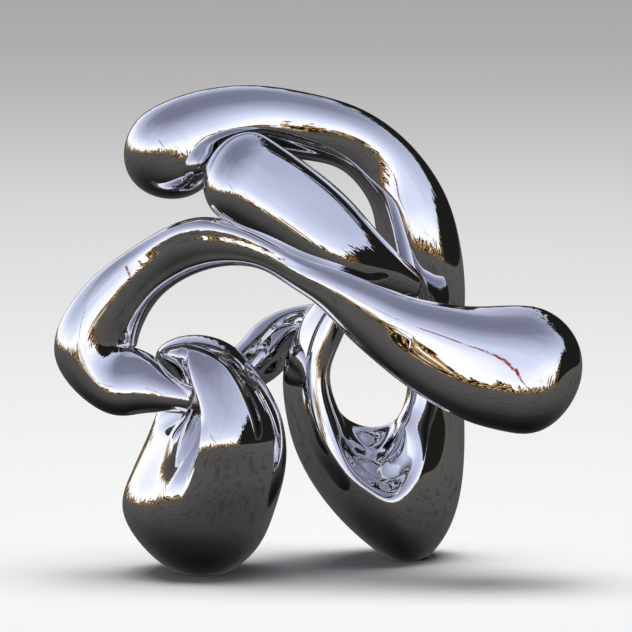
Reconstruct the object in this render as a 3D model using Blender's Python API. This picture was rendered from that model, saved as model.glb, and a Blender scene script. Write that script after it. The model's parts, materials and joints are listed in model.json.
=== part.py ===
"""Magnetic desk sculpture: six mirror-bright limbs that hold together at magnetic joints.

Lengths are in millimetres up to the point where a mesh is made. +Z is up, the front of the
sculpture faces -Y, and the origin is on the desk, under the middle of the sculpture.
"""

import math

import bmesh
import bpy
import numpy as np

MM = 0.001

# How finely the limbs are cut: sides round a limb, and steps along the longest one
SIDES = 24
STEP_LENGTH = 5.5
TIP_RINGS = 6

# Whole sculpture, as factors on the hand-set stations below
REACH_X = 1.0
REACH_Z = 1.0
LIMB_THICKNESS = 1.0

# Clearances
FACE_GAP = 0.3
GLUE_GAP = 0.15
RUN_GAP = 0.2

# Joint hardware
MAGNET_THICK = 2.5
MAGNET_BORE_R = 2.0
WASHER_THICK = 0.6
PIN_R = 1.5
PIN_REACH = 5.5
SWIVEL_BOWL = 20.0
FIXED_BOWL = 11.0
SMALL_SIDES = 24

# Radius of the round face at each joint, and of the magnets behind it
TONGUE_R = 5.6
TONGUE_MAGNET_R = 4.0
CROWN_R = 11.5
CROWN_MAGNET_R = 8.5
BULB_R = 7.0
BULB_MAGNET_R = 5.0
STRUT_R = 8.0
STRUT_MAGNET_R = 5.5

# Feet: the ground flat, and the pad let into it
PAD_THICK = 1.2
PAD_PROUD = 0.4
LEFT_PAD = (8.0, 10.0)
RIGHT_PAD = (7.5, 9.5)
RIGHT_CONTACT_X = 37.0

# A station is (x, y, z, half width across the limb in the XZ plane, half depth), from the
# joint end of the limb to its free end.
LONG_ARM = (
    (-51, -22, 71, TONGUE_R, TONGUE_R),
    (-58, -22, 73, 7.2, 7.2),
    (-68, -19, 76.4, 11.4, 10.0),
    (-79.6, -15, 78.6, 13.5, 12.2),
    (-88.4, -11.5, 88.4, 15.6, 13.5),
    (-83.2, -9, 104, 14.6, 12.5),
    (-73.5, -8, 116, 12.0, 11.0),
    (-60.5, -9, 126, 10.8, 10.0),
    (-44.5, -14, 132.9, 10.4, 9.5),
    (-30, -19, 132, 7.6, 7.5),
    (-19, -21.5, 128, 5.6, 6.5),
    (-9, -22.5, 122.5, 6.0, 7.0),
    (2, -23.5, 117, 7.6, 8.5),
    (17, -24.5, 107.5, 11.6, 11.0),
    (31, -25, 99, 14.8, 13.5),
    (45.5, -27, 92.5, 18.4, 15.0),
    (63, -29, 87, 22.4, 17.0),
    (81.5, -30, 84.5, 24.4, 18.0),
    (103.2, -30, 78.6, 24.2, 17.5),
)
CROWN_ARM = (
    (47, 23, 94, CROWN_R, CROWN_R),
    (46.5, 23, 105, 12.6, 12.0),
    (41, 23, 126, 16.0, 12.8),
    (36, 25, 144.6, 14.8, 12.4),
    (27.5, 26.5, 158.3, 13.4, 12.2),
    (13.5, 26.5, 169.7, 12.8, 12.6),
    (-6, 24.5, 175.4, 13.6, 13.0),
    (-27, 21, 177.7, 14.6, 14.0),
    (-45, 16.5, 173.5, 17.4, 15.5),
    (-58.5, 11, 166.4, 19.4, 17.0),
    (-73.4, 8, 154.2, 18.2, 16.5),
)
CENTRAL_BULB = (
    (36, 13.5, 112.5, BULB_R, BULB_R),
    (31, 8.5, 115.5, 8.2, 8.2),
    (23.5, 2.5, 120, 11.2, 11.0),
    (14, -2, 126.5, 14.0, 13.8),
    (3.5, -4.5, 134.5, 16.0, 15.6),
    (-11, -7.5, 146, 16.8, 16.0),
    (-24, -10, 155, 17.3, 16.2),
    (-42.5, -12, 167.3, 17.3, 16.0),
)
# The right foot bends too tightly for that, so each of its stations is a rib across it:
# (x, z at the open hole, x, z at the outer edge, y, half depth)
RIGHT_FOOT = (
    (47 - CROWN_R, 94, 47 + CROWN_R, 94, 23, CROWN_R),
    (36, 77, 58.3, 76, 23, 12.0),
    (34.4, 63, 59.0, 54, 23, 14.0),
    (31, 58, 58.4, 32.5, 23, 18.0),
    (26, 55, 52.2, 9.5, 23, 22.5),
    (20.5, 53.5, 38, -2.8, 23, 25.0),
    (15.5, 54.5, 19.4, 6.2, 22.5, 23.5),
    (11, 58, 2.4, 23.2, 22, 20.0),
    (7, 64, -7.5, 40, 21, 16.5),
    (4.5, 73, -12.6, 57.5, 20, 13.5),
    (5.5, 82, -14, 74.5, 19.5, 11.5),
    (9.5, 91, -10.5, 89, 19, 10.5),
    (13, 98, -4, 101, 19, 10.0),
    (17, 105, 4, 111, 19, 9.5),
)
REAR_STRUT = (
    (4, 28, 95, STRUT_R, STRUT_R),
    (0, 35, 94, 8.6, 8.4),
    (-10, 37.5, 90.5, 9.6, 8.6),
    (-20, 30, 84.4, 10.8, 9.0),
    (-28, 18, 79.6, 10.2, 8.6),
    (-35.5, 7, 77, STRUT_R, STRUT_R),
)

# Left foot: an egg, level by level (z, centre x, half width, half depth, swell of the
# front), the half sizes divided by the egg's own roundness at that level
LEFT_FOOT_TOP = 95.5
LEFT_FOOT_BOTTOM = -2.0
LEFT_FOOT_Y = -10
LEFT_FOOT = (
    (-2, -46.5, 34, 37, 0),
    (10, -47, 34.4, 35, 0),
    (25, -47.8, 33.9, 32, 0),
    (38, -45.2, 31.9, 29.5, 1.5),
    (48, -42.8, 30.1, 27, 4),
    (57, -41.2, 28.4, 26, 5.5),
    (64, -41.2, 27.8, 25.5, 5),
    (75, -44.2, 29.0, 26, 3),
    (84, -47.2, 31.8, 28, 1),
    (95, -49, 36, 30, 0),
)
LEFT_FOOT_RINGS = 26
# Hollows in the egg: (bearing, z, half angle, half height, share of the egg's radius).
# The scoop takes the long arm's tongue, and the slot runs down from it.
SCOOP = (-146, 75, 44, 12, 0.46)
SLOT = (-117, 54, 13, 17, 0.42)


def smooth_rows(rows, knots, at):
    """Read a natural cubic spline through the rows: no bend at its two ends."""
    gap = np.diff(knots)
    count = len(knots)
    system = np.eye(count)
    right = np.zeros((count, rows.shape[1]))
    slope = np.diff(rows, axis=0) / gap[:, None]
    for i in range(1, count - 1):
        system[i, i - 1 : i + 2] = gap[i - 1], 2 * (gap[i - 1] + gap[i]), gap[i]
        right[i] = 6 * (slope[i] - slope[i - 1])
    bend = np.linalg.solve(system, right)
    i = np.clip(np.searchsorted(knots, at) - 1, 0, count - 2)
    a = ((knots[i + 1] - at) / gap[i])[:, None]
    b = 1 - a
    curve = ((a**3 - a) * bend[i] + (b**3 - b) * bend[i + 1]) * (gap[i] ** 2)[:, None] / 6
    return a * rows[i] + b * rows[i + 1] + curve


class Limb:
    """A limb swept along its stations: its centre line, its ribs across and its half depth."""

    def __init__(self, centres, across, depth):
        centres = np.array(centres, float)
        steps = np.linalg.norm(np.diff(centres, axis=0), axis=1)
        self.knots = np.concatenate([[0], np.cumsum(steps)])
        self.length = self.knots[-1]
        self.rows = np.column_stack([centres, across, depth])

    @classmethod
    def swept(cls, stations):
        """From centres and half sizes: each rib stands square to the centre line."""
        rows = np.array(stations, float)
        rows[:, 0] *= REACH_X
        rows[:, 2] *= REACH_Z
        rows[1:-1, 3:] *= LIMB_THICKNESS
        bare = cls(rows[:, :3], np.zeros((len(rows), 3)), np.zeros(len(rows)))
        tangent = bare.tangents(bare.knots)
        across = np.cross(tangent, [0.0, 1.0, 0.0])
        across *= (rows[:, 3] / np.linalg.norm(across, axis=1))[:, None]
        return cls(rows[:, :3], across, rows[:, 4])

    @classmethod
    def ribbed(cls, ribs):
        """From ribs: the two ends of each rib, its y and the half depth there."""
        rows = np.array(ribs, float)
        rows[:, (0, 2)] *= REACH_X
        rows[:, (1, 3)] *= REACH_Z
        low = rows[:, (0, 4, 1)]
        high = rows[:, (2, 4, 3)]
        return cls((low + high) / 2, (high - low) / 2, rows[:, 5])

    def tangents(self, at):
        """Unit directions along the centre line."""
        step = 0.01
        ahead = smooth_rows(self.rows, self.knots, at + step)
        back = smooth_rows(self.rows, self.knots, at - step)
        tangent = (ahead - back)[:, :3]
        return tangent / np.linalg.norm(tangent, axis=1, keepdims=True)

    def read(self, at):
        """Centre, tangent, across, deep and half sizes at distances along the limb."""
        here = smooth_rows(self.rows, self.knots, at)
        tangent = self.tangents(at)
        wide = np.linalg.norm(here[:, 3:6], axis=1)
        across = here[:, 3:6] / wide[:, None]
        deep = np.cross(across, tangent)
        deep /= np.linalg.norm(deep, axis=1, keepdims=True)
        return here[:, :3], tangent, across, deep, np.column_stack([wide, here[:, 6]])

    def joint(self, end=0):
        """The middle of an end face, and the direction that leads from it into the limb."""
        at = np.array([0.0 if end == 0 else self.length])
        centre, tangent, _, _, _ = self.read(at)
        return centre[0], tangent[0] * (1 if end == 0 else -1)

    def rings(self, tip, tip_length):
        """Closed rings of points down the limb, drawn in to a round tip where it has one."""
        body = self.length - (tip_length if tip else 0)
        count = max(4, round(body / STEP_LENGTH))
        at = np.linspace(0, body, count + 1)
        if tip:
            u = np.sin(np.linspace(0, 0.5 * math.pi, TIP_RINGS + 1))[1:-1]
            at = np.concatenate([at, body + tip_length * u])
        centre, _, across, deep, size = self.read(at)
        if tip:
            u = np.clip((at - body) / tip_length, 0, 1)
            size = size * np.sqrt(1 - u**2.4)[:, None]
        turn = np.linspace(0, 2 * math.pi, SIDES, endpoint=False)[None, :, None]
        wide = np.cos(turn) * (across * size[:, :1])[:, None, :]
        thick = np.sin(turn) * (deep * size[:, 1:])[:, None, :]
        return centre[:, None, :] + wide + thick

    def bowl(self, end, depth):
        """The turned hollow that clears this end as it swivels: (radius, height) pairs."""
        at = np.linspace(0, depth, 6)
        point, axis = self.joint(end)
        centre, _, _, _, size = self.read(at if end == 0 else self.length - at)
        height = (centre - point) @ axis
        stray = np.linalg.norm(centre - point - height[:, None] * axis, axis=1)
        radius = np.maximum.accumulate(stray + size.max(axis=1) + FACE_GAP)
        pairs = list(zip(radius[::-1], height[::-1]))
        return pairs + [(radius[0], -FACE_GAP)]

    def circle(self, end, radius, depth):
        """A ring round the end's axis, sunk into the limb by depth."""
        at = np.array([0.0 if end == 0 else self.length])
        centre, _, across, deep, _ = self.read(at)
        _, inward = self.joint(end)
        turn = np.linspace(0, 2 * math.pi, SIDES, endpoint=False)[:, None]
        ring = radius * (np.cos(turn) * across + np.sin(turn) * deep)
        return (centre[0] + inward * depth + ring)[None]

    def socket(self, end, steps):
        """Rings of a stepped blind hole, from the end face down: (radius, depth) pairs."""
        return np.concatenate([self.circle(end, radius, depth) for radius, depth in steps])


def closed_mesh(name, rings, origin):
    """A stack of rings, joined side to side and closed at both ends by a fan."""
    count, sides, _ = rings.shape
    points = rings.reshape(-1, 3)
    caps = np.array([rings[0].mean(0), rings[-1].mean(0)])
    points = (np.concatenate([points, caps]) - origin) * MM
    faces = []
    for ring in range(count - 1):
        for side in range(sides):
            after = (side + 1) % sides
            low, high = ring * sides, (ring + 1) * sides
            faces.append((low + side, low + after, high + after, high + side))
    first, last = count * sides, count * sides + 1
    for side in range(sides):
        after = (side + 1) % sides
        faces.append((first, after, side))
        faces.append((last, (count - 1) * sides + side, (count - 1) * sides + after))
    mesh = bpy.data.meshes.new(name)
    mesh.from_pydata([tuple(p) for p in points], [], faces)
    tidy = bmesh.new()
    tidy.from_mesh(mesh)
    bmesh.ops.recalc_face_normals(tidy, faces=tidy.faces)
    tidy.to_mesh(mesh)
    tidy.free()
    return mesh


def place(name, mesh, origin, material, parent=None):
    """Put a mesh into the scene as the object of that name, smooth-shaded, at its origin."""
    mesh.shade_smooth()
    mesh.set_sharp_from_angle(angle=math.radians(40))
    piece = bpy.data.objects.new(name, mesh)
    bpy.context.scene.collection.objects.link(piece)
    piece.location = [v * MM for v in origin]
    piece.data.materials.append(material)
    if parent:
        piece.parent = parent
        piece.location = [v * MM - p for v, p in zip(origin, parent.location)]
    return piece


def turned(profile, point, axis, name, sides=SMALL_SIDES, start=0.0):
    """Turn a (radius, distance along the axis) profile round an axis through the point."""
    axis = np.array(axis) / np.linalg.norm(axis)
    deep = np.array([0.0, 1.0, 0.0]) - axis * axis[1]
    deep /= np.linalg.norm(deep)
    across = np.cross(axis, deep)
    turn = np.linspace(0, 2 * math.pi, sides, endpoint=False)[:, None] + start
    spoke = np.cos(turn) * across + np.sin(turn) * deep
    rings = np.stack([np.array(point) + axis * z + spoke * r for r, z in profile])
    return closed_mesh(name, rings, point)


def ring_mesh(inner, outer, low, high, point, axis, name):
    """A flat ring, such as a magnet or a washer: four circles joined in a loop."""
    mesh = turned(
        [(inner, low), (outer, low), (outer, high), (inner, high), (inner, low)],
        point, axis, name,
    )
    shape = bmesh.new()
    shape.from_mesh(mesh)
    shape.verts.ensure_lookup_table()
    hubs = shape.verts[-2:]
    bmesh.ops.delete(shape, geom=hubs, context="VERTS")
    bmesh.ops.remove_doubles(shape, verts=shape.verts, dist=1e-7)
    bmesh.ops.recalc_face_normals(shape, faces=shape.faces)
    shape.to_mesh(mesh)
    shape.free()
    return mesh


def finish(name, colour, metallic, roughness):
    """A Principled material of one colour."""
    material = bpy.data.materials.new(name)
    material.use_nodes = True
    shader = material.node_tree.nodes["Principled BSDF"]
    shader.inputs["Base Color"].default_value = (*colour, 1)
    shader.inputs["Metallic"].default_value = metallic
    shader.inputs["Roughness"].default_value = roughness
    return material


def cut(piece, mesh, origin):
    """Take a cutter's shape out of a piece."""
    cutter = bpy.data.objects.new(mesh.name, mesh)
    bpy.context.scene.collection.objects.link(cutter)
    cutter.location = [v * MM for v in origin]
    cutter.hide_render = True
    cutter.display_type = "WIRE"
    boolean = piece.modifiers.new(mesh.name, "BOOLEAN")
    boolean.operation = "DIFFERENCE"
    boolean.solver = "EXACT"
    boolean.object = cutter


def pocket_steps(magnet_r, washer):
    """A joint's blind hole: magnet pocket, deep enough for a washer too, then the pin's bore."""
    depth = MAGNET_THICK + GLUE_GAP + (WASHER_THICK + GLUE_GAP if washer else 0)
    bore = PIN_R + RUN_GAP
    return (
        (magnet_r + GLUE_GAP, 0),
        (magnet_r + GLUE_GAP, depth),
        (bore, depth),
        (bore, max(PIN_REACH + 1.0, depth + 2.5)),
    )


def joint_cutter(name, limb, end, magnet_r, washer):
    """What a joint takes out of its fixed limb: a bowl for the moving limb, then the hole."""
    point, axis = limb.joint(end)
    steps = limb.bowl(end, SWIVEL_BOWL if washer else FIXED_BOWL)
    for radius, depth in pocket_steps(magnet_r, washer):
        steps.append((radius, -FACE_GAP - depth))
    return turned(steps, point, axis, name)


def joint_hardware(name, point, axis, magnet_r, washer, finishes, anchor):
    """The fixed limb's magnet and pin and, on a joint that turns, its friction washer.

    The axis points into the moving limb; the faces meet at the point.
    """
    top = -FACE_GAP - (WASHER_THICK + GLUE_GAP if washer else 0.0)
    low = top - MAGNET_THICK
    fixed = ring_mesh(MAGNET_BORE_R, magnet_r, low, top, point, axis, name + "_magnet_a")
    place(name + "_magnet_a", fixed, point, finishes["magnet"])
    moving = ring_mesh(
        MAGNET_BORE_R, magnet_r, 0.0, MAGNET_THICK, point, axis, name + "_magnet_b"
    )
    place(name + "_magnet_b", moving, point, finishes["magnet"], anchor)
    ends = (-FACE_GAP - PIN_REACH, PIN_REACH)
    nose = 0.4
    pin = turned(
        [
            (PIN_R - nose, ends[0]),
            (PIN_R, ends[0] + nose),
            (PIN_R, ends[1] - nose),
            (PIN_R - nose, ends[1]),
        ],
        point, axis, name + "_pin",
    )
    place(name + "_pin", pin, point, finishes["steel"])
    if washer:
        disc = ring_mesh(
            MAGNET_BORE_R, magnet_r, top + GLUE_GAP / 2, top + GLUE_GAP / 2 + WASHER_THICK,
            point, axis, name + "_washer",
        )
        place(name + "_washer", disc, point, finishes["nylon"])


def anchor_at(name, point):
    """An empty on a joint, which carries the pieces that turn there."""
    empty = bpy.data.objects.new(name, None)
    bpy.context.scene.collection.objects.link(empty)
    empty.location = [v * MM for v in point]
    return empty


def egg_rings():
    """The left foot: level rings round an upright egg, drawn in where the hollows are.

    The front swells forward by the level's swell times the square of how far it faces front.
    """
    rows = np.array(LEFT_FOOT, float)
    rows[:, 1] *= REACH_X
    rows[:, 2:4] *= LIMB_THICKNESS
    half = (LEFT_FOOT_TOP - LEFT_FOOT_BOTTOM) / 2
    t = np.linspace(0, math.pi, LEFT_FOOT_RINGS + 1)[1:-1]
    z = LEFT_FOOT_BOTTOM + half - half * np.cos(t)
    level = smooth_rows(rows[:, 1:], rows[:, 0], z)
    turn = np.linspace(0, 2 * math.pi, 2 * SIDES, endpoint=False)
    wide = (level[:, 1] * np.sin(t))[:, None]
    thick = (level[:, 2] * np.sin(t))[:, None]
    reach = 1 / np.hypot(np.cos(turn) / wide, np.sin(turn) / thick)
    for bearing, height, half_angle, half_height, share in (SCOOP, SLOT):
        off = np.degrees(turn) - bearing
        off = (off + 180) % 360 - 180
        dent = np.exp(-((off / half_angle) ** 4) - ((z[:, None] - height) / half_height) ** 4)
        reach = reach * (1 - share * dent)
    points = np.empty((len(z), len(turn), 3))
    points[..., 0] = level[:, :1] + reach * np.cos(turn)
    points[..., 1] = LEFT_FOOT_Y + reach * np.sin(turn)
    points[..., 1] -= level[:, 3:] * np.clip(-np.sin(turn), 0, None) ** 2
    points[..., 2] = z[:, None] * REACH_Z
    return points


def ground_cut(name, centre, pad):
    """A block that levels a foot's underside, with the pad's pocket standing on its top."""
    reach = 40.0
    sides = SMALL_SIDES
    turn = np.linspace(0, 2 * math.pi, sides, endpoint=False)
    oval = np.stack([np.cos(turn) * pad[0], np.sin(turn) * pad[1]], axis=1)
    square = np.stack([np.cos(turn), np.sin(turn)], axis=1)
    square = square / np.abs(square).max(axis=1, keepdims=True) * reach
    levels = (
        (square, -10.0),
        (square, PAD_PROUD),
        (oval, PAD_PROUD),
        (oval, PAD_THICK + GLUE_GAP),
    )
    grow = 1 + GLUE_GAP * 2 / min(pad)
    rings = []
    for ring, z in levels:
        scale = 1.0 if ring is square else grow
        rings.append(np.column_stack([ring * scale, np.full(sides, z)]))
    rings = np.stack(rings) + np.array([centre[0], centre[1], 0.0])
    return closed_mesh(name, rings, centre)


def pad_mesh(name, centre, pad):
    """An oval pad that stands on the desk."""
    turn = np.linspace(0, 2 * math.pi, SMALL_SIDES, endpoint=False)
    oval = np.stack([np.cos(turn) * pad[0], np.sin(turn) * pad[1]], axis=1)
    rings = [np.column_stack([oval, np.full(len(turn), z)]) for z in (0.0, PAD_THICK)]
    rings = np.stack(rings) + np.array([centre[0], centre[1], 0.0])
    return closed_mesh(name, rings, centre)


def limb_piece(name, limb, magnet_r, tip_length, material, anchor, end_magnet=None):
    """A limb with its own joint's hole at the start, and a tip or a second hole at the end."""
    rings = limb.rings(tip_length > 0, tip_length)
    start = limb.socket(0, pocket_steps(magnet_r, False))[::-1]
    parts = [start, rings]
    if end_magnet:
        parts.append(limb.socket(1, pocket_steps(end_magnet, False)))
    origin, _ = limb.joint()
    mesh = closed_mesh(name, np.concatenate(parts), origin)
    return place(name, mesh, origin, material, anchor)


def build():
    for old in list(bpy.data.objects):
        bpy.data.objects.remove(old)
    finishes = {
        "chrome": finish("mirror_chrome", (0.80, 0.80, 0.83), 1.0, 0.04),
        "polished": finish("polished_aluminium", (0.80, 0.80, 0.84), 1.0, 0.05),
        "magnet": finish("magnet_nickel", (0.62, 0.60, 0.56), 1.0, 0.3),
        "steel": finish("pin_steel", (0.55, 0.55, 0.56), 1.0, 0.35),
        "nylon": finish("washer_nylon", (0.75, 0.73, 0.66), 0.0, 0.6),
        "rubber": finish("pad_rubber", (0.03, 0.03, 0.03), 0.0, 0.8),
    }
    long_arm = Limb.swept(LONG_ARM)
    crown_arm = Limb.swept(CROWN_ARM)
    central_bulb = Limb.swept(CENTRAL_BULB)
    right_foot = Limb.ribbed(RIGHT_FOOT)
    rear_strut = Limb.swept(REAR_STRUT)

    tongue = long_arm.joint()
    crown = crown_arm.joint()
    bulb = central_bulb.joint()
    strut_right = rear_strut.joint(0)
    strut_left = rear_strut.joint(1)
    joints = {
        "tongue": (*tongue, TONGUE_MAGNET_R, True),
        "crown": (*crown, CROWN_MAGNET_R, True),
        "bulb": (*bulb, BULB_MAGNET_R, True),
        "strut_right": (*strut_right, STRUT_MAGNET_R, False),
        "strut_left": (*strut_left, STRUT_MAGNET_R, False),
    }
    anchors = {
        name: anchor_at(name + "_axis", joints[name][0]) for name in ("tongue", "crown", "bulb")
    }
    for name, (point, axis, magnet_r, washer) in joints.items():
        joint_hardware(name, point, axis, magnet_r, washer, finishes, anchors.get(name))
        print(name, np.round(point, 3), np.round(axis, 4))

    polished = finishes["polished"]
    limb_piece("long_arm", long_arm, TONGUE_MAGNET_R, 26.0, polished, anchors["tongue"])
    crown_piece = limb_piece(
        "crown_arm", crown_arm, CROWN_MAGNET_R, 23.0, polished, anchors["crown"]
    )
    limb_piece("central_bulb", central_bulb, BULB_MAGNET_R, 17.0, polished, anchors["bulb"])
    limb_piece(
        "rear_strut", rear_strut, STRUT_MAGNET_R, 0.0, polished, None, STRUT_MAGNET_R
    )
    cut(crown_piece, joint_cutter("bulb_seat", central_bulb, 0, BULB_MAGNET_R, True), bulb[0])

    # right foot: its top end carries the crown arm, so its hole holds a magnet and a washer
    rings = right_foot.rings(True, 9.0)
    rings[0, :, 2] -= FACE_GAP
    hole = right_foot.socket(0, pocket_steps(CROWN_MAGNET_R, True))[::-1]
    hole[..., 2] -= FACE_GAP
    origin, _ = right_foot.joint()
    mesh = closed_mesh("right_foot", np.concatenate([hole, rings]), origin)
    right_piece = place("right_foot", mesh, origin, finishes["chrome"])
    seat = joint_cutter("strut_right_seat", rear_strut, 0, STRUT_MAGNET_R, False)
    cut(right_piece, seat, strut_right[0])

    left_mesh = closed_mesh("left_foot", egg_rings(), (0, 0, 0))
    left_piece = place("left_foot", left_mesh, (0, 0, 0), finishes["chrome"])
    cut(left_piece, joint_cutter("tongue_seat", long_arm, 0, TONGUE_MAGNET_R, True), tongue[0])
    seat = joint_cutter("strut_left_seat", rear_strut, 1, STRUT_MAGNET_R, False)
    cut(left_piece, seat, strut_left[0])

    feet = (
        (left_piece, "left_pad", (LEFT_FOOT[0][1] * REACH_X, LEFT_FOOT_Y, 0.0), LEFT_PAD),
        (right_piece, "right_pad", (RIGHT_CONTACT_X * REACH_X, RIGHT_FOOT[5][4], 0.0), RIGHT_PAD),
    )
    for foot, name, centre, pad in feet:
        cut(foot, ground_cut(name + "_cut", centre, pad), centre)
        place(name, pad_mesh(name, centre, pad), centre, finishes["rubber"])


build()
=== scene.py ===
# %% [markdown]
# # Magnetic desk sculpture: the looks
# Six mirror-bright limbs hold together at magnetic joints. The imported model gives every
# solid its place and its moving body. This script gives the limbs their fine, flowing
# surface with its ridges and hollows, and every piece its finish, then lights the whole.

# %% Load the frame
import json
import math

import bpy
import numpy as np
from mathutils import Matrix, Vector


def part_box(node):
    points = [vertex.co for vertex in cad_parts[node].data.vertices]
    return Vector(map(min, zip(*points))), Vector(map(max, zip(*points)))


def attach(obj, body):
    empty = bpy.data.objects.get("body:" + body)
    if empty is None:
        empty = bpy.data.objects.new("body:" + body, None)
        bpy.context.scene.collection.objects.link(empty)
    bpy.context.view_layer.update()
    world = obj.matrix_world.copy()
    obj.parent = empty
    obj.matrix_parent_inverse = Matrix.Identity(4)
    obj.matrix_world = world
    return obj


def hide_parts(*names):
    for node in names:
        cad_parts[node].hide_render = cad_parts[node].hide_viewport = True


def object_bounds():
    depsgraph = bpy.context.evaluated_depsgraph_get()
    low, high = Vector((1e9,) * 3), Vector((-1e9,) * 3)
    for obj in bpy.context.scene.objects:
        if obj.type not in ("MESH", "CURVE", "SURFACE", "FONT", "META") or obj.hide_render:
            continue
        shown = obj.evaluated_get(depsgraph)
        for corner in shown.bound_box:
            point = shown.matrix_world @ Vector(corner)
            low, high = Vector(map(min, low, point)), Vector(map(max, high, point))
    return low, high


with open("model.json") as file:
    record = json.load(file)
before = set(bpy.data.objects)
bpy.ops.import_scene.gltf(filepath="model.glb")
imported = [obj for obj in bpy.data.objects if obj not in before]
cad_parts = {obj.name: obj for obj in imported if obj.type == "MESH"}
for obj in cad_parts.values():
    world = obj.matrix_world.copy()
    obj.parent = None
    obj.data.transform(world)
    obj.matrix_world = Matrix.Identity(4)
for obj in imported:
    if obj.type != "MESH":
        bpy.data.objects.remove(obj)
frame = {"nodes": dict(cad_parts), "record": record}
cad_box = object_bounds()
MM = 0.001
print("CAD box (mm):", [[round(v / MM, 1) for v in corner] for corner in cad_box])

# %% [markdown]
# ## The camera
# A long lens looks straight at the front from a little above, so the limbs keep their true
# proportions. The width seen follows from the lens: width = sensor * distance / lens.

# %% Camera
VIEW_ELEVATION = math.radians(8)
VIEW_WIDTH = 252.8 * MM
LENS = 400.0
SENSOR = 36.0
low, high = (np.array(corner) for corner in cad_box)
middle = (low + high) / 2
look_at = np.array([middle[0] - 1.0 * MM, middle[1] + 5.0 * MM, middle[2] + 5.0 * MM])
distance = VIEW_WIDTH * LENS / SENSOR
camera_data = bpy.data.cameras.new("front_camera")
camera_data.lens = LENS
camera_data.sensor_width = SENSOR
camera_data.clip_end = 60.0
camera = bpy.data.objects.new("front_camera", camera_data)
bpy.context.scene.collection.objects.link(camera)
camera.location = look_at + distance * np.array(
    [0.0, -math.cos(VIEW_ELEVATION), math.sin(VIEW_ELEVATION)]
)
camera.rotation_euler = (math.pi / 2 - VIEW_ELEVATION, 0.0, 0.0)
bpy.context.scene.camera = camera
print("camera stands", round(distance, 3), "m from the sculpture")

# %% [markdown]
# ## How a limb is described
# On the real object each limb was shaped in clay as one flowing piece, then cast and
# polished. It could be sculpted, or built from metaballs, but both are hard to repeat. Here a
# limb is a centre line through a few stations, each with a half width and a half depth, and a
# smooth curve through all of them. An oval is carried along that line.

# %% Stations of the limbs, in millimetres: x, y, z, half width, half depth
TONGUE_R = 5.6
CROWN_R = 11.5
BULB_R = 7.0
STRUT_R = 8.0
LONG_ARM = (
    (-51, -22, 71, TONGUE_R, TONGUE_R),
    (-58, -22, 73, 7.2, 7.2),
    (-68, -19, 76.4, 11.4, 10.0),
    (-79.6, -15, 78.6, 13.5, 12.2),
    (-88.4, -11.5, 88.4, 15.6, 13.5),
    (-83.2, -9, 104, 14.6, 12.5),
    (-73.5, -8, 116, 12.0, 11.0),
    (-60.5, -9, 126, 10.8, 10.0),
    (-44.5, -14, 132.9, 10.4, 9.5),
    (-30, -19, 132, 7.6, 7.5),
    (-19, -21.5, 128, 5.6, 6.5),
    (-9, -22.5, 122.5, 6.0, 7.0),
    (2, -23.5, 117, 7.6, 8.5),
    (17, -24.5, 107.5, 11.6, 11.0),
    (31, -25, 99, 14.8, 13.5),
    (45.5, -27, 92.5, 18.4, 15.0),
    (63, -29, 87, 22.4, 17.0),
    (81.5, -30, 84.5, 24.4, 18.0),
    (103.2, -30, 78.6, 24.2, 17.5),
)
CROWN_ARM = (
    (47, 23, 94, CROWN_R, CROWN_R),
    (46.5, 23, 105, 12.6, 12.0),
    (41, 23, 126, 16.0, 12.8),
    (36, 25, 144.6, 14.8, 12.4),
    (27.5, 26.5, 158.3, 13.4, 12.2),
    (13.5, 26.5, 169.7, 12.8, 12.6),
    (-6, 24.5, 175.4, 13.6, 13.0),
    (-27, 21, 177.7, 14.6, 14.0),
    (-45, 16.5, 173.5, 17.4, 15.5),
    (-58.5, 11, 166.4, 19.4, 17.0),
    (-73.4, 8, 154.2, 18.2, 16.5),
)
CENTRAL_BULB = (
    (36, 13.5, 112.5, BULB_R, BULB_R),
    (31, 8.5, 115.5, 8.2, 8.2),
    (23.5, 2.5, 120, 11.2, 11.0),
    (14, -2, 126.5, 14.0, 13.8),
    (3.5, -4.5, 134.5, 16.0, 15.6),
    (-11, -7.5, 146, 16.8, 16.0),
    (-24, -10, 155, 17.3, 16.2),
    (-42.5, -12, 167.3, 17.3, 16.0),
)
REAR_STRUT = (
    (4, 28, 95, STRUT_R, STRUT_R),
    (0, 35, 94, 8.6, 8.4),
    (-10, 37.5, 90.5, 9.6, 8.6),
    (-20, 30, 84.4, 10.8, 9.0),
    (-28, 18, 79.6, 10.2, 8.6),
    (-35.5, 7, 77, STRUT_R, STRUT_R),
)
# The right foot bends round its hole, so each station is a rib across it:
# x and z at the hole, x and z at the outer edge, y, half depth
RIGHT_FOOT = (
    (47 - CROWN_R, 94, 47 + CROWN_R, 94, 23, CROWN_R),
    (36, 77, 58.3, 76, 23, 12.0),
    (34.4, 63, 59.0, 54, 23, 14.0),
    (31, 58, 58.4, 32.5, 23, 18.0),
    (26, 55, 52.2, 9.5, 23, 22.5),
    (20.5, 53.5, 38, -2.8, 23, 25.0),
    (15.5, 54.5, 19.4, 6.2, 22.5, 23.5),
    (11, 58, 2.4, 23.2, 22, 20.0),
    (7, 64, -7.5, 40, 21, 16.5),
    (4.5, 73, -12.6, 57.5, 20, 13.5),
    (5.5, 82, -14, 74.5, 19.5, 11.5),
    (9.5, 91, -10.5, 89, 19, 10.5),
    (13, 98, -4, 101, 19, 10.0),
    (17, 105, 4, 111, 19, 9.5),
)
ALL_STATIONS = (LONG_ARM, CROWN_ARM, CENTRAL_BULB, REAR_STRUT, RIGHT_FOOT)
print("stations:", [len(rows) for rows in ALL_STATIONS])

# %% [markdown]
# ## The smooth curve
# A natural cubic spline passes through every station and never kinks. Its bend at each
# station comes from one small set of linear equations, solved for all columns at once.

# %% Natural cubic spline


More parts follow.
